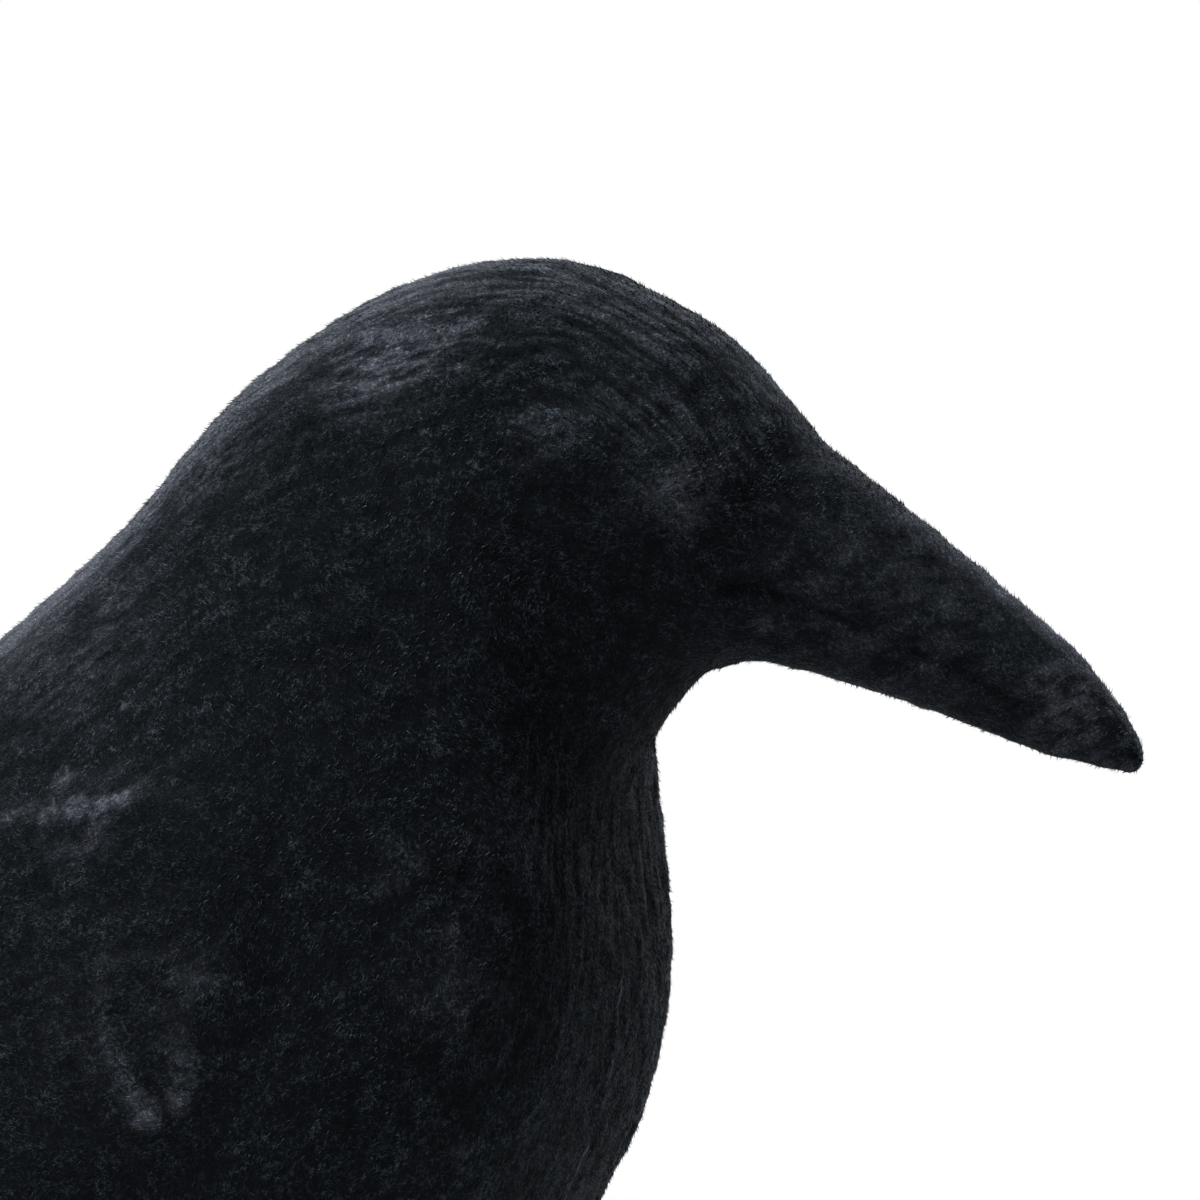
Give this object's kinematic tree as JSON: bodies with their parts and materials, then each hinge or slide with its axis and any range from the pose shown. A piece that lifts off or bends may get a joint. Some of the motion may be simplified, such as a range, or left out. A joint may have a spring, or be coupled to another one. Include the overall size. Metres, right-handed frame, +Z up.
{
  "type": "crow decoy",
  "caption": "Flocked crow decoy standing with folded wings, a sealed moulded shell with a soft black nap, cut flat below so that it stands on its own.",
  "frame": {"origin": "on the flat underside, below the middle of the body, in the bird's plane of symmetry", "axes": "+X the way the bill points, +Z up, +Y towards the bird's left wing"},
  "size_m": [0.359, 0.1018, 0.1676],
  "materials": {
    "black_flock": "matt black flock nap, rubbed and dusty on the high places"
  },
  "bodies": {
    "root": {"decoy_body": "black_flock"}
  },
  "joints": []
}
